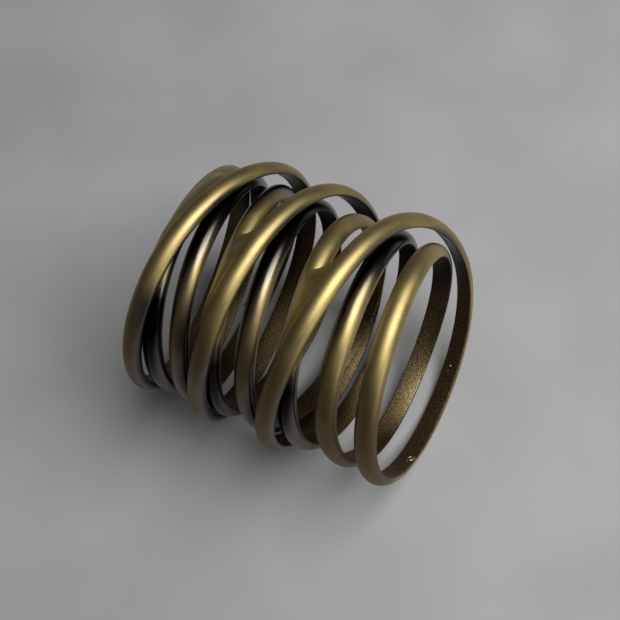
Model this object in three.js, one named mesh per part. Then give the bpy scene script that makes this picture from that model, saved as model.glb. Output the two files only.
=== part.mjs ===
// A wide finger ring wound from one length of half-round brass wire.
// Seven inner turns are wound on the finger from the +X end to the -X end. The wire then comes back
// over them in three long, open outer turns, and its two ends are brazed together at the +X end.
// Millimetres, +Z up. The finger hole runs along X, and the ring lies on its side on the plane z = 0.

import * as THREE from 'three';

// The hole that the ring is wound around, and the wire
const BORE_RADIUS = 9.3;
const WIRE_WIDTH = 1.8;
const WIRE_HEIGHT = 0.9;
const WIRE_EDGE = 0.12;

// Spaces left between turns that lie side by side, and between the two layers
const SLOT_GAP = 0.5;
const LAYER_GAP = 0.04;

// Where the ends of the wire meet: degrees round the hole from the top, positive towards -Y
const SEAM_ANGLE = 135;

// The braze between the ends, and the solder under the outer turns
const SEAM_WIDTH = 0.3;
const SEAM_PROUD = 0.05;
const TACK_RADIUS = 0.45;

// Space kept between solids that meet face to face
const FACE_GAP = 0.05;

// Fineness of the faceted solids
const STEPS_PER_TURN = 40;
const DOME_SIDES = 6;
const TACK_SIDES = 12;

// Colours of the metals
const ANTIQUE_BRASS = 0x86703f;
const DARK_BRASS = 0x5a4a30;
const SOLDER = 0xa89a76;

// One row for each turn, in the order of winding, with six stations 60 degrees apart that start at the
// seam and go round by the front, the top and the back. A smooth curve passes near the stations.
// across: slots from the middle of the ring, positive towards +X
// lift: layers that the turn stands above the finger
// lean: degrees that the crown of the wire tips towards +X
const LEVEL = [0, 0, 0, 0, 0, 0];
const TURNS = [
  {
    name: 'inner_turn_1',
    across: [4.9, 3.55, 2.9, 2.9, 3.85, 4.05],
    lift: [0.5, 0.1, 0, 0, 0, 0],
    lean: [24, 0, 0, 0, 0, 0],
  },
  {
    name: 'inner_turn_2',
    across: [3.75, 2.0, 1.55, 1.65, 2.4, 2.5],
    lift: LEVEL,
    lean: [0, 0, -6, 0, 0, 0],
  },
  { name: 'inner_turn_3', across: [1.9, 0.65, -0.05, -0.2, 1.25, 1.2], lift: LEVEL, lean: LEVEL },
  {
    name: 'inner_turn_4',
    across: [0.2, -0.9, -1.5, -1.7, -0.85, -0.6],
    lift: LEVEL,
    lean: [0, -8, -16, -8, 0, 0],
  },
  { name: 'inner_turn_5', across: [-1.55, -2.2, -2.75, -2.9, -2.8, -3.25], lift: LEVEL, lean: LEVEL },
  {
    name: 'inner_turn_6',
    across: [-3.2, -3.25, -4.05, -4.0, -4.25, -4.4],
    lift: LEVEL,
    lean: [0, -8, -16, -8, 0, 0],
  },
  { name: 'inner_turn_7', across: [-3.9, -4.4, -5.1, -4.8, -5.1, -5.2], lift: LEVEL, lean: LEVEL },
  {
    name: 'outer_turn_1',
    across: [-4.8, -5.1, -5.0, -3.4, -2.15, -2.25],
    lift: [0.3, 1.0, 1.4, 1.75, 1.9, 1.5],
    lean: [0, -15, -21, -15, 0, 0],
  },
  {
    name: 'outer_turn_2',
    across: [-2.15, -2.55, -2.45, -1.3, 0.9, 1.55],
    lift: [1.05, 1.15, 1.4, 1.85, 1.95, 1.5],
    lean: [0, -15, -21, -15, 0, 0],
  },
  {
    name: 'outer_turn_3',
    across: [0.75, -0.1, 0.5, 1.55, 4.75, 5.5],
    lift: [1.0, 1.25, 1.55, 1.9, 2.3, 1.4],
    lean: [0, -15, -21, -4, 38, 36],
  },
];

// Pairs of turns, by row, that are soldered where the outer one crosses the inner one at the front
const SOLDERED = [
  { outer: 7, inner: 6 },
  { outer: 8, inner: 4 },
  { outer: 9, inner: 2 },
];

const slotPitch = WIRE_WIDTH + SLOT_GAP;
const layerRise = WIRE_HEIGHT + LAYER_GAP;

const stations = {
  across: TURNS.flatMap((turn) => turn.across),
  lift: TURNS.flatMap((turn) => turn.lift),
  lean: TURNS.flatMap((turn) => turn.lean),
};

// Value of a closed, smooth curve that passes near evenly spaced stations; turns counts from the seam
function along(values, turns) {
  const place = (turns / TURNS.length) * values.length;
  const whole = Math.floor(place);
  const f = place - whole;
  const weights = [
    (1 - f) ** 3,
    3 * f ** 3 - 6 * f ** 2 + 4,
    -3 * f ** 3 + 3 * f ** 2 + 3 * f + 1,
    f ** 3,
  ];
  const at = (offset) => values[(whole + offset - 1 + 2 * values.length) % values.length];
  return weights.reduce((sum, weight, i) => sum + (weight * at(i)) / 6, 0);
}

// Direction straight out from the axis of the hole
function outward(turns) {
  const angle = THREE.MathUtils.degToRad(SEAM_ANGLE - 360 * turns);
  return new THREE.Vector3(0, -Math.sin(angle), Math.cos(angle));
}

function innerRadius(turns) {
  return BORE_RADIUS + layerRise * along(stations.lift, turns);
}

function leanAngle(turns) {
  return THREE.MathUtils.degToRad(along(stations.lean, turns));
}

// Middle of the flat face of the wire
function wirePoint(turns) {
  return outward(turns)
    .multiplyScalar(innerRadius(turns))
    .setX(slotPitch * along(stations.across, turns));
}

// Directions at one place on the wire: ahead along it, out through its crown, and across it
function wireFrame(turns) {
  const step = 1e-4;
  const ahead = wirePoint(turns + step)
    .sub(wirePoint(turns - step))
    .normalize();
  const crown = outward(turns);
  crown.addScaledVector(ahead, -crown.dot(ahead)).normalize();
  const side = new THREE.Vector3().crossVectors(crown, ahead);
  const lean = leanAngle(turns);
  crown.applyAxisAngle(ahead, lean);
  side.applyAxisAngle(ahead, lean);
  return { ahead, crown, side };
}

// The wire between two places, with its flat face kept towards the finger
class WirePath extends THREE.Curve {
  constructor(from, to) {
    super();
    this.from = from;
    this.to = to;
  }

  turnsAt(t) {
    return THREE.MathUtils.lerp(this.from, this.to, t);
  }

  getPoint(t, target = new THREE.Vector3()) {
    return target.copy(wirePoint(this.turnsAt(t)));
  }

  computeFrenetFrames(segments) {
    const places = Array.from({ length: segments + 1 }, (_, i) => this.getUtoTmapping(i / segments));
    const frames = places.map((t) => wireFrame(this.turnsAt(t)));
    return {
      tangents: frames.map((frame) => frame.ahead),
      normals: frames.map((frame) => frame.side),
      binormals: frames.map((frame) => frame.crown),
    };
  }
}

// Section of half-round wire: a flat face with broken edges and a half-elliptical crown
function wireSection(proud = 0) {
  const half = WIRE_WIDTH / 2 + proud;
  const height = WIRE_HEIGHT + proud - WIRE_EDGE;
  const section = new THREE.Shape();
  section.moveTo(-half + WIRE_EDGE, -proud);
  section.lineTo(half - WIRE_EDGE, -proud);
  for (let i = 0; i <= DOME_SIDES; i += 1) {
    const angle = (Math.PI * i) / DOME_SIDES;
    section.lineTo(half * Math.cos(angle), WIRE_EDGE + height * Math.sin(angle));
  }
  section.closePath();
  return section;
}

function brassMesh(name, geometry, color, roughness) {
  const material = new THREE.MeshStandardMaterial({ color, roughness, metalness: 1 });
  const mesh = new THREE.Mesh(geometry, material);
  mesh.name = name;
  return mesh;
}

// A length along the wire, in turns, at one place
function inTurns(length, turns) {
  return length / (2 * Math.PI * innerRadius(turns));
}

// One turn of the wire, cut back at the ends of the wire for the braze and elsewhere for a fine gap
function turnMesh(row) {
  const cut = (end) => (end % TURNS.length === 0 ? SEAM_WIDTH / 2 + FACE_GAP : FACE_GAP / 2);
  const from = row + inTurns(cut(row), row);
  const to = row + 1 - inTurns(cut(row + 1), row + 1);
  const geometry = new THREE.ExtrudeGeometry(wireSection(), {
    steps: STEPS_PER_TURN,
    extrudePath: new WirePath(from, to),
  });
  return brassMesh(TURNS[row].name, geometry, ANTIQUE_BRASS, 0.38);
}

// Braze that joins the two ends of the wire
function seamMesh() {
  const half = inTurns(SEAM_WIDTH / 2, 0);
  const geometry = new THREE.ExtrudeGeometry(wireSection(SEAM_PROUD), {
    steps: 2,
    extrudePath: new WirePath(-half, half),
  });
  return brassMesh('end_seam', geometry, DARK_BRASS, 0.55);
}

// The place in a turn where an outer turn passes over the middle of an inner one at the front
function crossingPlace(outer, inner) {
  const apart = (place) => along(stations.across, outer + place) - along(stations.across, inner + place);
  let near = 0;
  let far = 0.5;
  for (let i = 0; i < 40; i += 1) {
    const middle = (near + far) / 2;
    if (apart(middle) * apart(near) > 0) {
      near = middle;
    } else {
      far = middle;
    }
  }
  return (near + far) / 2;
}

// Solder between the crown of an inner turn and the flat face of the outer turn above it
function tackMesh({ outer, inner }, i) {
  const place = crossingPlace(outer, inner);
  const bottom = innerRadius(inner + place) + WIRE_HEIGHT + FACE_GAP;
  const dip = TACK_RADIUS * Math.sin(Math.abs(leanAngle(outer + place)));
  const top = innerRadius(outer + place) - dip - FACE_GAP;
  const geometry = new THREE.CylinderGeometry(TACK_RADIUS, TACK_RADIUS, top - bottom, TACK_SIDES);
  const mesh = brassMesh(`solder_tack_${i + 1}`, geometry, SOLDER, 0.45);
  const out = outward(place);
  mesh.quaternion.setFromUnitVectors(new THREE.Vector3(0, 1, 0), out);
  mesh.position.copy(out.multiplyScalar((top + bottom) / 2));
  mesh.position.setX(slotPitch * along(stations.across, inner + place));
  return mesh;
}

// Sets the ring down on z = 0, with the middle of its outline over the origin
function setDown(ring) {
  ring.updateMatrixWorld(true);
  const box = new THREE.Box3().setFromObject(ring, true);
  const middle = box.getCenter(new THREE.Vector3());
  ring.position.set(-middle.x, -middle.y, -box.min.z);
  ring.updateMatrixWorld(true);
}

const ring = new THREE.Group();
TURNS.forEach((_, row) => ring.add(turnMesh(row)));
ring.add(seamMesh());
SOLDERED.forEach((pair, i) => ring.add(tackMesh(pair, i)));
setDown(ring);

export default ring;
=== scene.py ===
"""A wide finger ring wound from one length of half-round wire in antiqued brass.

The ring lies on its side on a pale floor. Its hole runs along X. Seven inner turns are wound on the
finger, three open outer turns come back over them, and the two ends of the wire are brazed together.
Sizes are in metres.
"""

import math

import bpy
import numpy as np
from mathutils import Matrix, Vector


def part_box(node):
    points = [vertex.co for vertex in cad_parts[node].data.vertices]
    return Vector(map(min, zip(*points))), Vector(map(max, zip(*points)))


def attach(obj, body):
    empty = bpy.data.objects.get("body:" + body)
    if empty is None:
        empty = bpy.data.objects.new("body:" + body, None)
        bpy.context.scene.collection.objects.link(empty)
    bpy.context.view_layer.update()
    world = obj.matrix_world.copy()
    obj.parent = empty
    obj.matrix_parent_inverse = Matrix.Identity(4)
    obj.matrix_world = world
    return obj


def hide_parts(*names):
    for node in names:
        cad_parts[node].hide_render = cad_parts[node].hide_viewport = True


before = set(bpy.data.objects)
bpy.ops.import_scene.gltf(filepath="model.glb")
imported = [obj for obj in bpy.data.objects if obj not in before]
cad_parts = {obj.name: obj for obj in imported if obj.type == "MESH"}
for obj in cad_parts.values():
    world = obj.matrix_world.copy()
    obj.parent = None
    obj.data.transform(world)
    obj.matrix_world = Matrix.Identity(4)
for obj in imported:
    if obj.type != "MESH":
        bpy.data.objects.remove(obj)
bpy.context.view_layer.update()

MM = 0.001

# The wire and the hole that it is wound around
BORE_RADIUS = 9.3 * MM
WIRE_WIDTH = 1.8 * MM
WIRE_HEIGHT = 0.9 * MM
WIRE_EDGE = 0.12 * MM
SLOT_PITCH = 2.3 * MM
LAYER_RISE = 0.94 * MM
SEAM_ANGLE = 135

# The straight bar that each turn is wound from
BAR_LENGTH = 2 * math.pi * (BORE_RADIUS + LAYER_RISE / 2)
BAR_SIDES = 64
BAR_CUTS = 18

# Widths of wire at which a neighbouring turn starts to shelter a surface, and shelters it fully, for the
# dark patina and painted shade between turns
CROWD_FAR = 1.3
CROWD_NEAR = 0.6
COVER_FAR = 2.1
COVER_NEAR = 0.75

# Braze and solder
SEAM_GAP = 0.05 * MM
BRAZE_LENGTH = 0.62 * MM
BRAZE_PROUD = 0.035 * MM
BRAZE_END_FALL = 1.6
BRAZE_NOTCH_WIDTH = 0.12
BRAZE_NOTCH_DEPTH = 1.9
BRAZE_MIDDLE = 0.4 * WIRE_HEIGHT
SOLDER_FACE_GAP = 0.05 * MM
TACK_RADIUS = 0.45 * MM

LEVEL = [0, 0, 0, 0, 0, 0]

# Six stations for each turn, 60 degrees apart from the seam by the front, the top and the back:
# slots across the ring, layers above the finger, and degrees that the crown tips towards +X
TURNS = {
    "inner_turn_1": ([4.9, 3.55, 2.9, 2.9, 3.85, 4.05], [0.5, 0.1, 0, 0, 0, 0], [24, 0, 0, 0, 0, 0]),
    "inner_turn_2": ([3.75, 2.0, 1.55, 1.65, 2.4, 2.5], LEVEL, [0, 0, -6, 0, 0, 0]),
    "inner_turn_3": ([1.9, 0.65, -0.05, -0.2, 1.25, 1.2], LEVEL, LEVEL),
    "inner_turn_4": ([0.2, -0.9, -1.5, -1.7, -0.85, -0.6], LEVEL, [0, -8, -16, -8, 0, 0]),
    "inner_turn_5": ([-1.55, -2.2, -2.75, -2.9, -2.8, -3.25], LEVEL, LEVEL),
    "inner_turn_6": ([-3.2, -3.25, -4.05, -4.0, -4.25, -4.4], LEVEL, [0, -8, -16, -8, 0, 0]),
    "inner_turn_7": ([-3.9, -4.4, -5.1, -4.8, -5.1, -5.2], LEVEL, LEVEL),
    "outer_turn_1": (
        [-4.8, -5.1, -5.0, -3.4, -2.15, -2.25],
        [0.3, 1.0, 1.4, 1.75, 1.9, 1.5],
        [0, -15, -21, -15, 0, 0],
    ),
    "outer_turn_2": (
        [-2.15, -2.55, -2.45, -1.3, 0.9, 1.55],
        [1.05, 1.15, 1.4, 1.85, 1.95, 1.5],
        [0, -15, -21, -15, 0, 0],
    ),
    "outer_turn_3": (
        [0.75, -0.1, 0.5, 1.55, 4.75, 5.5],
        [1.0, 1.25, 1.55, 1.9, 2.3, 1.4],
        [0, -15, -21, -4, 38, 36],
    ),
}
NAMES = list(TURNS)
INNER_TURNS = 7
ACROSS = np.concatenate([TURNS[n][0] for n in NAMES]).astype(float)
LIFT = np.concatenate([TURNS[n][1] for n in NAMES]).astype(float)
LEAN = np.concatenate([TURNS[n][2] for n in NAMES]).astype(float)

# Outer and inner turns that are soldered where they cross at the front, the CAD name of the solder,
# and the angles from the top of the ring that it runs between
SOLDERED = [
    (7, 6, "solder_tack_1", 40, -60),
    (8, 4, "solder_tack_2", 60, -26),
    (9, 2, "solder_tack_3", 56, -20),
]

# Share of its length by which the middle of the solder stops short of its tips
SOLDER_NOTCH = 0.35

# Shares of its length over which the solder fades out at its front end and at its back end
SOLDER_FRONT_FADE = 0.2
SOLDER_BACK_FADE = 0.3

# Shares of the reach of the crown: how full the middle of the solder stands, how far the middle and the
# whole of it sink where it fades out, how near its outside comes to the crown, and how deep it goes
SOLDER_FULLNESS = 0.2
SOLDER_END_HOLLOW = 1.0
SOLDER_END_SINK = 0.25
SOLDER_OUTSIDE = 0.992
SOLDER_DEPTH = 0.2

# Degrees over which the dark patina and painted shade between soldered turns fade at the front and at the
# back end of the solder, and how far past the back end the fade reaches
FUSED_FRONT_FADE = 22
FUSED_BACK_FADE = 12
FUSED_PAST_END = 6

# Degrees from the top, towards the front, for the painted shade on the lower front: where the low part
# starts, how far it takes to be fully low, where it ends, and how far it takes to fade
LOW_START = 15
LOW_RISE = 50
LOW_END = 135
LOW_FADE = 30

# Small spots painted near-white, a painted highlight for glints: the turn, the place in it, across the
# wire, and the radius
GLINT_SPOTS = [
    (4, 0.3634, -0.2 * MM, 0.26 * MM),
    (2, 0.3630, -0.65 * MM, 0.24 * MM),
]

# Beads of spattered braze: the turn, the place in it, across the wire, the radius, and the face
SPATTER = [
    (9, 0.7980, 0.05 * MM, 0.10 * MM, True),
    (9, 0.8050, 0.10 * MM, 0.05 * MM, True),
    (3, 0.3074, 0.80 * MM, 0.15 * MM, False),
    (9, 0.9720, -0.30 * MM, 0.07 * MM, True),
]

# The rim of a blister in the braze on the flat face of the wire
BLISTER = (9, 0.9645, -0.48 * MM)


# ---------------------------------------------------------------- the path of the wire


def along(values, turns):
    """Value of a smooth closed curve that passes near the stations; turns counts from the seam."""
    place = np.asarray(turns, float) / len(NAMES) * len(values)
    whole = np.floor(place).astype(int)
    f = place - whole
    weights = ((1 - f) ** 3, 3 * f**3 - 6 * f**2 + 4, -3 * f**3 + 3 * f**2 + 3 * f + 1, f**3)
    return sum(w * values[(whole + i - 1) % len(values)] for i, w in enumerate(weights)) / 6


def outward(turns):
    """Direction straight out from the axis of the hole."""
    angle = np.radians(SEAM_ANGLE - 360 * np.asarray(turns, float))
    return np.stack([0 * angle, -np.sin(angle), np.cos(angle)], -1)


def inner_radius(turns):
    return BORE_RADIUS + LAYER_RISE * along(LIFT, turns)


def wire_point(turns):
    """Middle of the flat face of the wire, from the middle of the hole."""
    point = outward(turns) * inner_radius(turns)[..., None]
    point[..., 0] = SLOT_PITCH * along(ACROSS, turns)
    return point


def unit(v):
    return v / np.linalg.norm(v, axis=-1, keepdims=True)


def wire_frame(turns):
    """Directions ahead along the wire, out through its crown, and across it."""
    step = 1e-4
    ahead = unit(wire_point(turns + step) - wire_point(turns - step))
    out = outward(turns)
    level_crown = unit(out - (out * ahead).sum(-1, keepdims=True) * ahead)
    level_side = np.cross(level_crown, ahead)
    lean = np.radians(along(LEAN, turns))[..., None]
    crown = level_crown * np.cos(lean) - level_side * np.sin(lean)
    side = level_side * np.cos(lean) + level_crown * np.sin(lean)
    return ahead, crown, side


def crossing_place(outer, inner):
    """Where in its turn an outer turn passes over the middle of an inner one at the front."""
    places = np.linspace(0, 0.5, 20001)
    apart = along(ACROSS, outer + places) - along(ACROSS, inner + places)
    change = np.nonzero(np.diff(np.sign(apart)))[0][0]
    return float(places[change])


def crossing_middle(outer, inner):
    """Middle of the solder between two turns that cross, from the middle of the hole."""
    place = crossing_place(outer, inner)
    bottom = inner_radius(inner + place) + WIRE_HEIGHT + SOLDER_FACE_GAP
    dip = TACK_RADIUS * math.sin(abs(math.radians(float(along(LEAN, outer + place)))))
    top = inner_radius(outer + place) - dip - SOLDER_FACE_GAP
    point = outward(place) * (top + bottom) / 2
    point[0] = SLOT_PITCH * along(ACROSS, inner + place)
    return point


def middle_of(node):
    low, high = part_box(node)
    return np.array((low + high) / 2)


# The middle of the hole in the ring's own place
HOLE = middle_of("solder_tack_1") - crossing_middle(*SOLDERED[0][:2])


# ---------------------------------------------------------------- modelling helpers


def deselect_all():
    for o in bpy.context.selected_objects:
        o.select_set(False)


def edit(obj):
    deselect_all()
    bpy.context.view_layer.objects.active = obj
    obj.select_set(True)
    bpy.ops.object.mode_set(mode="EDIT")


def done():
    bpy.ops.object.mode_set(mode="OBJECT")


def pick(obj, kind, test):
    """Selects just the verts, edges or faces that pass the test, in edit mode."""
    bpy.ops.mesh.select_mode(type=kind)
    bpy.ops.mesh.select_all(action="DESELECT")
    bpy.ops.object.mode_set(mode="OBJECT")
    mesh = obj.data
    parts = {"VERT": mesh.vertices, "EDGE": mesh.edges, "FACE": mesh.polygons}[kind]
    for part in parts:
        part.select = bool(test(mesh, part))
    bpy.ops.object.mode_set(mode="EDIT")


def apply_place(obj):
    deselect_all()
    bpy.context.view_layer.objects.active = obj
    obj.select_set(True)
    bpy.ops.object.transform_apply(location=True, rotation=True, scale=True)


def verts_of(obj):
    co = np.empty(len(obj.data.vertices) * 3)
    obj.data.vertices.foreach_get("co", co)
    return co.reshape(-1, 3)


def set_verts(obj, co):
    obj.data.vertices.foreach_set("co", np.ascontiguousarray(co).ravel())
    obj.data.update()


def add_values(obj, name, values):
    """Stores a number, or a vector, at each vertex for the material to read."""
    vector = values.ndim == 2
    layer = obj.data.attributes.new(name, "FLOAT_VECTOR" if vector else "FLOAT", "POINT")
    layer.data.foreach_set("vector" if vector else "value", np.ascontiguousarray(values).ravel())


def smooth(obj, degrees):
    deselect_all()
    bpy.context.view_layer.objects.active = obj
    obj.select_set(True)
    bpy.ops.object.shade_smooth_by_angle(angle=math.radians(degrees))


def is_lengthwise(mesh, edge):
    a, b = (mesh.vertices[i].co for i in edge.vertices)
    return abs(a.z - b.z) > 1e-6


def is_crosswise(mesh, edge):
    a, b = (mesh.vertices[i].co for i in edge.vertices)
    return abs(a.x - b.x) > 1e-6


def is_flat_edge(mesh, edge):
    a, b = (mesh.vertices[i].co for i in edge.vertices)
    return abs(a.z - b.z) > 1e-6 and a.y < 1e-7 and b.y < 1e-7


def draw_bar(name, length, cuts):
    """A straight half-round bar along Z from 0: its flat face at y = 0 and its crown towards +Y."""
    bpy.ops.mesh.primitive_cylinder_add(
        vertices=BAR_SIDES, radius=WIRE_WIDTH / 2, depth=length, location=(0, WIRE_EDGE, length / 2)
    )
    bar = bpy.context.object
    bar.name = name
    bar.scale.y = (WIRE_HEIGHT - WIRE_EDGE) / (WIRE_WIDTH / 2)
    apply_place(bar)
    edit(bar)
    bpy.ops.mesh.select_all(action="SELECT")
    bpy.ops.mesh.bisect(
        plane_co=(0, WIRE_EDGE, 0), plane_no=(0, 1, 0), use_fill=True, clear_inner=True, threshold=1e-7
    )
    pick(bar, "FACE", lambda mesh, face: face.normal.y < -0.99)
    bpy.ops.mesh.extrude_region_move(TRANSFORM_OT_translate={"value": (0, -WIRE_EDGE, 0)})
    pick(bar, "EDGE", is_flat_edge)
    bpy.ops.mesh.bevel(offset=WIRE_EDGE * 0.95, segments=4, affect="EDGES")
    for cut in cuts:
        pick(bar, "EDGE", is_lengthwise)
        bpy.ops.mesh.subdivide(number_cuts=cut)
    bpy.ops.mesh.select_all(action="SELECT")
    bpy.ops.mesh.normals_make_consistent(inside=False)
    done()
    return bar


def fused(row, other, place):
    """1 where two turns are run together by solder, and 0 elsewhere."""
    angle = SEAM_ANGLE - 360 * place
    for outer, inner, _, first_angle, last_angle in SOLDERED:
        if {outer, inner} == {row, other}:
            front = np.clip((first_angle - angle) / FUSED_FRONT_FADE, 0, 1)
            back = np.clip((angle - last_angle + FUSED_PAST_END) / FUSED_BACK_FADE, 0, 1)
            return front * back
    return 0.0


def crowding(row, place, points):
    """How closely the other turns press on each point of a turn, from 0 to 1."""
    out = outward(place)
    from_axis = points - HOLE
    x = from_axis[:, 0]
    r = (from_axis * out).sum(-1)
    most = np.zeros(len(points))
    for other in range(len(NAMES)):
        if other == row:
            continue
        there = other + place
        dx = SLOT_PITCH * along(ACROSS, there) - x
        dr = inner_radius(there) + WIRE_HEIGHT * 0.35 - r
        apart = np.hypot(dx, dr) / WIRE_WIDTH
        covered = other >= INNER_TURNS > row
        far, near = (COVER_FAR, COVER_NEAR) if covered else (CROWD_FAR, CROWD_NEAR)
        close = np.clip((far - apart) / (far - near), 0, 1)
        most = np.maximum(most, close * (1 - fused(row, other, place)))
    return most


def on_wire(row, place, across, inside=False):
    """A point on the crown, or on the flat face, of a turn, and the directions there."""
    ahead, crown, side = wire_frame(np.array(row + place))
    dome = WIRE_EDGE + (WIRE_HEIGHT - WIRE_EDGE) * math.sqrt(1 - (across / (WIRE_WIDTH / 2)) ** 2)
    point = HOLE + wire_point(np.array(row + place)) + side * across + crown * (0 if inside else dome)
    return point, np.stack([side, ahead, -crown if inside else crown])


def painted_glints(points):
    """Painted highlight: how much near-white glint is painted on, in small spots."""
    most = np.zeros(len(points))
    for row, place, across, radius in GLINT_SPOTS:
        spot, directions = on_wire(row, place, across)
        local = (points - spot) @ directions.T
        distance = np.sqrt(local[:, 0] ** 2 + (local[:, 1] / 1.8) ** 2 + (local[:, 2] / 3) ** 2)
        most = np.maximum(most, np.exp(-((distance / radius) ** 2)))
    return most


def painted_low_shade(points):
    """Painted shade: 0 on the upper part of the ring, rising to 1 on its lower front, which is painted
    dark brown.
    """
    angle = np.degrees(np.arctan2(HOLE[1] - points[:, 1], points[:, 2] - HOLE[2]))
    return np.clip((angle - LOW_START) / LOW_RISE, 0, 1) * np.clip((LOW_END - angle) / LOW_FADE, 0, 1)


def wind(obj, start, length):
    """Winds a straight bar onto the path of the wire, from one place for a length of turns."""
    bar = verts_of(obj)
    turns = start + bar[:, 2] / BAR_LENGTH * length
    _, crown, side = wire_frame(turns)
    points = HOLE + wire_point(turns) + side * bar[:, :1] + crown * bar[:, 1:2]
    set_verts(obj, points)
    add_values(obj, "bar", np.stack([bar[:, 0], bar[:, 1], turns * BAR_LENGTH], -1) / MM)
    return turns, points


# ---------------------------------------------------------------- material nodes


class Socket:
    """A node's output that sums can be written with."""

    def __init__(self, finish, link):
        self.finish = finish
        self.link = link

    def sum(self, operation, *values, clamp=False):
        settings = {"operation": operation, "use_clamp": clamp}
        return self.finish.node("ShaderNodeMath", settings, dict(enumerate(values)))

    def __add__(self, other):
        return self.sum("ADD", self, other)

    def __radd__(self, other):
        return self.sum("ADD", other, self)

    def __sub__(self, other):
        return self.sum("SUBTRACT", self, other)

    def __rsub__(self, other):
        return self.sum("SUBTRACT", other, self)

    def __mul__(self, other):
        return self.sum("MULTIPLY", self, other)

    def __truediv__(self, other):
        return self.sum("DIVIDE", self, other)

    def clip(self):
        return self.sum("ADD", self, 0.0, clamp=True)

    def ramp(self, low, high):
        """0 below low and 1 above high, with soft ends."""
        settings = {"interpolation_type": "SMOOTHSTEP"}
        values = {"Value": self, "From Min": low, "From Max": high, "To Min": 0.0, "To Max": 1.0}
        return self.finish.node("ShaderNodeMapRange", settings, values)


class Finish:
    """A material under construction."""

    def __init__(self, name):
        self.material = bpy.data.materials.new(name)
        self.material.use_nodes = True
        self.tree = self.material.node_tree
        self.tree.nodes.clear()

    def node(self, kind, settings, values, output=0):
        """Adds a node, sets it up, fills its sockets, and returns one of its outputs."""
        node = self.tree.nodes.new(kind)
        for name, setting in settings.items():
            setattr(node, name, setting)
        for name, value in values.items():
            if isinstance(value, Socket):
                self.tree.links.new(value.link, node.inputs[name])
            else:
                node.inputs[name].default_value = value
        return Socket(self, node.outputs[output])

    def attribute(self, name, output):
        return self.node("ShaderNodeAttribute", {"attribute_name": name}, {}, output)

    def part(self, vector, axis):
        return self.node("ShaderNodeSeparateXYZ", {}, {"Vector": vector}, axis)

    def stretched(self, vector, scale):
        return self.node("ShaderNodeVectorMath", {"operation": "MULTIPLY"}, {0: vector, 1: scale})

    def noise(self, vector, scale, detail=2.0, roughness=0.5):
        values = {"Vector": vector, "Scale": scale, "Detail": detail, "Roughness": roughness}
        return self.node("ShaderNodeTexNoise", {}, values, "Fac")

    def blend(self, amount, first, second):
        """A colour part of the way from the first to the second."""
        values = {0: amount, 6: first, 7: second}
        return self.node("ShaderNodeMix", {"data_type": "RGBA"}, values, 2)

    def bump(self, height, distance, strength=1.0, normal=None):
        values = {"Height": height, "Distance": distance, "Strength": strength}
        if normal is not None:
            values["Normal"] = normal
        return self.node("ShaderNodeBump", {}, values)

    def metal(self, color, roughness, normal, metallic=1.0):
        values = {"Base Color": color, "Roughness": roughness, "Metallic": metallic, "Normal": normal}
        shader = self.node("ShaderNodeBsdfPrincipled", {}, values)
        out = self.tree.nodes.new("ShaderNodeOutputMaterial")
        self.tree.links.new(shader.link, out.inputs["Surface"])
        return self.material


BRASS = (0.52, 0.40, 0.16, 1)
OLIVE_BRASS = (0.40, 0.32, 0.145, 1)
BROWN_TONE_AND_SHADE = (0.095, 0.060, 0.032, 1)
DARK_PATINA = (0.15, 0.138, 0.12, 1)
PALE_BRAZE = (0.72, 0.64, 0.44, 1)
GLINT_WHITE = (0.62, 0.62, 0.60, 1)
INNER_BROWN = (0.27, 0.19, 0.085, 1)
BLACK_PATINA_AND_SHADE = (0.012, 0.010, 0.008, 1)


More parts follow.
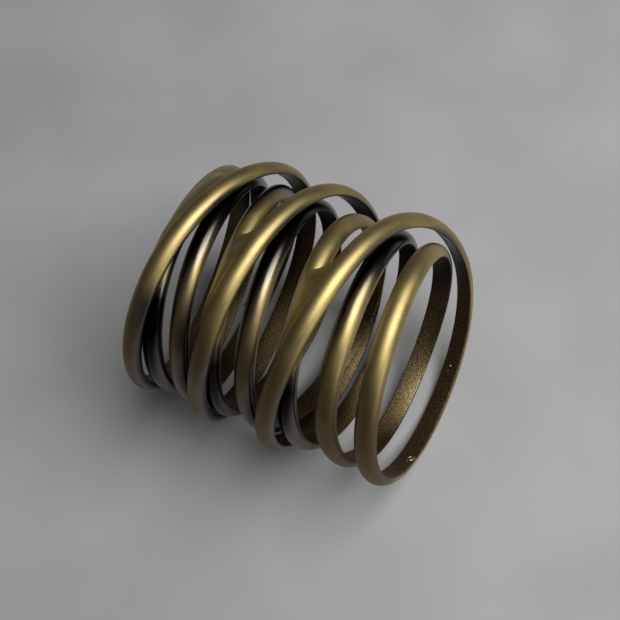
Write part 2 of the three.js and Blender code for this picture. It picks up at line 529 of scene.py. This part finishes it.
def antique_brass():
    """Satin brass where it is rubbed, glossy dark patina where other turns shelter it, with painted shade
    in the gaps.
    """
    finish = Finish("antique_brass_wire")
    bar = finish.attribute("bar", "Vector")
    crowd = finish.attribute("crowding", "Fac")
    low = finish.attribute("low", "Fac")
    height = finish.part(bar, "Y") / (WIRE_HEIGHT / MM)
    inside = 1 - height.ramp(0.02, 0.14)
    cloud = finish.noise(bar, 0.45, 3.0)
    grain = finish.noise(bar, 7.0, 4.0, 0.65)
    drawn = finish.noise(finish.stretched(bar, (16.0, 16.0, 0.6)), 1.0, 2.0)
    # Dark patina in the hollows where other turns crowd, partly painted shade; also darker on the sides of
    # the wire.
    patina_and_shade = (crowd + (cloud - 0.5) * 0.5 + (1 - height) * 0.25 - 0.1).ramp(0.15, 0.75)
    worn_and_shaded = finish.blend(cloud.ramp(0.35, 0.65), OLIVE_BRASS, BRASS)
    # Painted shade: low on its section, on the sides of the wire, the colour is blended to dark brown.
    worn_and_shaded = finish.blend((height.ramp(0.0, 0.3) + cloud * 0.3 - 0.15).clip(), BROWN_TONE_AND_SHADE, worn_and_shaded)
    # Painted shade: the lower front of the ring is blended to dark brown.
    worn_and_shaded = finish.blend(low.ramp(0.0, 1.0) * 0.85, worn_and_shaded, BROWN_TONE_AND_SHADE)
    base = finish.blend(patina_and_shade, worn_and_shaded, DARK_PATINA)
    # Painted shade: black where other turns press closest.
    base = finish.blend(crowd.ramp(0.55, 0.95), base, BLACK_PATINA_AND_SHADE)
    place = finish.node("ShaderNodeTexCoord", {}, {}, "Object")
    # Painted shade: the flat inside face is black high on the ring and shows its brown grain only low
    # down.
    deep = 1 - finish.part(place, "Z").ramp(5 * MM, 13 * MM)
    speckle = grain.ramp(0.36, 0.68) * deep
    inner_face = finish.blend(speckle, BLACK_PATINA_AND_SHADE, INNER_BROWN)
    color = finish.blend(inside * 0.95, base, inner_face)
    glint_spot = finish.attribute("glint_spot", "Fac")
    # Painted highlight: small near-white glint spots, also made glossier.
    color = finish.blend(glint_spot * 0.8, color, GLINT_WHITE)
    rough = 0.47 - patina_and_shade * 0.24 - glint_spot * 0.2 + (grain - 0.5) * 0.16 + (drawn - 0.5) * 0.06 + inside * 0.1
    relief = finish.bump(grain, 0.015 * MM, 0.3)
    relief = finish.bump(grain * inside, 0.04 * MM, 0.6, relief)
    relief = finish.bump(drawn, 0.006 * MM, 0.3, relief)
    return finish.metal(color, rough, relief)


def dull_solder():
    finish = Finish("dull_solder")
    coords = finish.node("ShaderNodeTexCoord", {}, {}, "Object")
    grain = finish.noise(coords, 5200.0, 3.0)
    cloud = finish.noise(coords, 900.0, 2.0)
    color = finish.blend(cloud.ramp(0.35, 0.65), BROWN_TONE_AND_SHADE, BRASS)
    rough = 0.4 + (grain - 0.5) * 0.3
    relief = finish.bump(grain, 0.02 * MM, 0.5)
    return finish.metal(color, rough, relief)


def clean_braze():
    """Pale brass-coloured braze that has kept its shine."""
    finish = Finish("bright_braze")
    coords = finish.node("ShaderNodeTexCoord", {}, {}, "Object")
    grain = finish.noise(coords, 6000.0, 3.0)
    color = finish.blend(grain.ramp(0.35, 0.6), BRASS, PALE_BRAZE)
    rough = 0.28 + (grain - 0.5) * 0.2
    return finish.metal(color, rough, finish.bump(grain, 0.02 * MM, 0.4))


wire_finish = antique_brass()
solder_finish = dull_solder()
bright_braze = clean_braze()


# ---------------------------------------------------------------- the turns


def finish_piece(obj, material, slot_name, *nodes):
    obj.data.materials.clear()
    obj.data.materials.append(material)
    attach(obj, "root")
    if nodes:
        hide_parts(*nodes)
    return obj


def copy_of(obj, name):
    copy = bpy.data.objects.new(name, obj.data.copy())
    bpy.context.scene.collection.objects.link(copy)
    return copy


def end_trim(row):
    """Length, in turns, that a turn is cut back for the joint at the ends of the wire."""
    return SEAM_GAP / 2 / (2 * math.pi * float(inner_radius(row))) if row % len(NAMES) == 0 else 0.0


deselect_all()
half_round_bar = draw_bar("half_round_bar", BAR_LENGTH, (BAR_CUTS, BAR_CUTS))
for row, name in enumerate(NAMES):
    turn = copy_of(half_round_bar, "wire_" + name)
    start = row + end_trim(row)
    stop = row + 1 - end_trim(row + 1)
    turns, points = wind(turn, start, stop - start)
    add_values(turn, "crowding", crowding(row, turns - row, points))
    add_values(turn, "low", painted_low_shade(points))
    add_values(turn, "glint_spot", painted_glints(points))
    smooth(turn, 50)
    finish_piece(turn, wire_finish, "wire", name)
bpy.data.objects.remove(half_round_bar)


# ---------------------------------------------------------------- braze and solder


def make_braze():
    """The braze that fills the butt joint and stands a little proud of it."""
    braze = draw_bar("end_braze", BRAZE_LENGTH, (12,))
    bar = verts_of(braze)
    from_joint = (bar[:, 2] - BRAZE_LENGTH / 2) / (BRAZE_LENGTH / 2)
    swell = 1 - from_joint**2 * BRAZE_END_FALL
    notch = np.exp(-((from_joint / BRAZE_NOTCH_WIDTH) ** 2)) * BRAZE_NOTCH_DEPTH
    middle = np.array([0, BRAZE_MIDDLE])
    spread = 1 + BRAZE_PROUD * (swell - notch) / (WIRE_WIDTH / 2)
    bar[:, :2] = middle + (bar[:, :2] - middle) * spread[:, None]
    set_verts(braze, bar)
    share = BRAZE_LENGTH / (2 * math.pi * float(inner_radius(0.0)))
    wind(braze, -share / 2, share * BAR_LENGTH / BRAZE_LENGTH)
    smooth(braze, 50)
    return finish_piece(braze, solder_finish, "braze", "end_seam")


def dome_reach(turns, direction):
    """From the middle of the crown's ellipse to its edge that faces a direction, across and out."""
    ahead, _, _ = wire_frame(turns)
    lean = np.radians(along(LEAN, turns))
    wide = np.stack([np.cos(lean), -np.sin(lean)], -1)
    high = np.stack([np.sin(lean), np.cos(lean)], -1)
    half_width = WIRE_WIDTH / 2 / np.sqrt(1 - ahead[:, 0] ** 2)
    half_height = WIRE_HEIGHT - WIRE_EDGE
    over = half_width * (direction * wide).sum(-1)
    up = half_height * (direction * high).sum(-1)
    size = np.hypot(over, up)
    return wide * (half_width * over / size)[:, None] + high * (half_height * up / size)[:, None]


def make_solder(outer, inner, node, first_angle, last_angle):
    """Solder run along two turns where they cross, which blends the crown of one into the other."""
    bpy.ops.mesh.primitive_cube_add(size=1, location=(0.5, 0.5, 0.5))
    solder = bpy.context.object
    solder.name = "solder_at_crossing_" + node[-1]
    apply_place(solder)
    edit(solder)
    pick(solder, "EDGE", is_lengthwise)
    bpy.ops.mesh.subdivide(number_cuts=59)
    pick(solder, "EDGE", is_crosswise)
    bpy.ops.mesh.subdivide(number_cuts=15)
    done()
    t, top, s = verts_of(solder).T
    reached = 0.5 + (s - 0.5) * (1 - SOLDER_NOTCH * 4 * t * (1 - t))
    place = (SEAM_ANGLE - (first_angle + (last_angle - first_angle) * reached)) / 360
    inner_middle = section_middle(inner + place)
    outer_middle = section_middle(outer + place)
    between = unit(outer_middle - inner_middle)
    facing = np.stack([-between[:, 1], between[:, 0]], -1)
    fade = np.clip(np.minimum(s / SOLDER_FRONT_FADE, (1 - s) / SOLDER_BACK_FADE), 0, 1)
    fade = fade * fade * (3 - 2 * fade)
    hollow = ((1 - fade) * SOLDER_END_HOLLOW - SOLDER_FULLNESS) * 4 * t * (1 - t)
    hollow = hollow + (1 - fade) * SOLDER_END_SINK
    inner_reach, outer_reach = (dome_reach(turn + place, facing) for turn in (inner, outer))
    reach = inner_reach * (1 - t)[:, None] + outer_reach * t[:, None]
    reach = reach * (top * (SOLDER_OUTSIDE - hollow) - (1 - top) * SOLDER_DEPTH)[:, None]
    flat = inner_middle * (1 - t)[:, None] + outer_middle * t[:, None] + reach
    points = outward(place) * flat[:, 1:]
    points[:, 0] = flat[:, 0]
    set_verts(solder, points + HOLE)
    edit(solder)
    bpy.ops.mesh.select_all(action="SELECT")
    bpy.ops.mesh.normals_make_consistent(inside=False)
    done()
    along_wire = (outer + place) * BAR_LENGTH
    height = np.full(len(t), WIRE_HEIGHT * 0.8)
    add_values(solder, "bar", np.stack([t * WIRE_WIDTH, height, along_wire], -1) / MM)
    add_values(solder, "crowding", np.zeros(len(t)))
    add_values(solder, "low", painted_low_shade(points + HOLE))
    add_values(solder, "glint_spot", painted_glints(points + HOLE))
    smooth(solder, 60)
    return finish_piece(solder, wire_finish, "solder", node)


def section_middle(turns):
    """Middle of the ellipse of the crown: across the ring, and out from its axis."""
    lean = np.radians(along(LEAN, turns))
    across = SLOT_PITCH * along(ACROSS, turns) + WIRE_EDGE * np.sin(lean)
    return np.stack([across, inner_radius(turns) + WIRE_EDGE * np.cos(lean)], -1)


def make_spatter():
    """Small flattened beads of braze, joined into one piece, with the rim of a burst blister."""
    beads = []
    for row, place, across, radius, inside in SPATTER:
        bpy.ops.mesh.primitive_ico_sphere_add(subdivisions=3, radius=radius)
        beads.append(settle(bpy.context.object, row, place, across, inside, (1, 1.35, 0.55)))
    bpy.ops.mesh.primitive_torus_add(
        major_radius=0.26 * MM, minor_radius=0.075 * MM, major_segments=40, minor_segments=14
    )
    beads.append(settle(bpy.context.object, *BLISTER, True, (1, 1.15, 0.9)))
    deselect_all()
    for bead in beads:
        bead.select_set(True)
    spatter = beads[0]
    bpy.context.view_layer.objects.active = spatter
    bpy.ops.object.join()
    spatter.name = "braze_spatter"
    smooth(spatter, 60)
    return finish_piece(spatter, bright_braze, "braze")


def settle(bead, row, place, across, inside, squash):
    """Squashes a bead, makes it a little uneven, and sets it half sunk in the wire."""
    point, directions = on_wire(row, place, across, inside)
    shape = verts_of(bead)
    uneven = 1 + 0.14 * np.sin(shape[:, :1] / MM * 21 + row) * np.cos(shape[:, 1:2] / MM * 17 + place * 40)
    set_verts(bead, point + (shape * uneven * np.array(squash)) @ directions)
    edit(bead)
    bpy.ops.mesh.select_all(action="SELECT")
    bpy.ops.mesh.normals_make_consistent(inside=False)
    done()
    return bead


make_spatter()
make_braze()
for outer, inner, node, first_angle, last_angle in SOLDERED:
    make_solder(outer, inner, node, first_angle, last_angle)


# ---------------------------------------------------------------- floor, light and camera


def pale_floor():
    bpy.ops.mesh.primitive_plane_add(size=2.4, location=(0, 0, 0))
    floor = bpy.context.object
    floor.name = "floor"
    finish = Finish("pale_floor")
    coords = finish.node("ShaderNodeTexCoord", {}, {}, "Object")
    mottle = finish.noise(coords, 60.0, 2.0)
    color = finish.blend(mottle.ramp(0.3, 0.7), (0.37, 0.37, 0.375, 1), (0.42, 0.42, 0.425, 1))
    relief = finish.bump(mottle, 0.001, 0.02)
    floor.data.materials.append(finish.metal(color, 0.85, relief, 0.0))
    return floor


def soft_light(name, position, target, size, power):
    data = bpy.data.lights.new(name, "AREA")
    data.shape = "DISK"
    data.size = size
    data.energy = power
    lamp = bpy.data.objects.new(name, data)
    bpy.context.scene.collection.objects.link(lamp)
    lamp.location = position
    lamp.rotation_mode = "QUATERNION"
    lamp.rotation_quaternion = (Vector(target) - Vector(position)).to_track_quat("-Z", "Y")
    return lamp


def room_light(color, strength):
    world = bpy.data.worlds.new("studio")
    world.use_nodes = True
    background = world.node_tree.nodes["Background"]
    background.inputs["Color"].default_value = (*color, 1)
    background.inputs["Strength"].default_value = strength
    bpy.context.scene.world = world


# Where the camera stands: round from the front, up from the floor, its distance and its aim
CAMERA_AROUND = 23.916
CAMERA_UP = 66.009
CAMERA_AWAY = 77.66 * MM
CAMERA_RIGHT = -0.370 * MM
CAMERA_RAISE = 1.206 * MM
CAMERA_LENS = 36 * 904.6 / 620


def make_camera():
    around, up = math.radians(CAMERA_AROUND), math.radians(CAMERA_UP)
    back = Vector(
        (math.sin(around) * math.cos(up), -math.cos(around) * math.cos(up), math.sin(up))
    )
    right = Vector((math.cos(around), math.sin(around), 0))
    above = back.cross(right)
    data = bpy.data.cameras.new("camera")
    data.lens = CAMERA_LENS
    data.sensor_width = 36
    data.clip_start = 0.005
    camera = bpy.data.objects.new("camera", data)
    bpy.context.scene.collection.objects.link(camera)
    turn = Matrix((right, above, back)).transposed().to_4x4()
    place = back * CAMERA_AWAY + right * CAMERA_RIGHT + above * CAMERA_RAISE + Vector(HOLE)
    camera.matrix_world = Matrix.Translation(place) @ turn
    bpy.context.scene.camera = camera


pale_floor()
soft_light("overhead", (0.072, 0.028, 0.185), (0, 0, 0.01), 0.175, 0.40)
soft_light("side", (0.25, -0.08, 0.11), (0, 0, 0.01), 0.12, 0.10)
room_light((0.80, 0.80, 0.82), 0.06)
bpy.context.scene.view_settings.view_transform = "Standard"
make_camera()
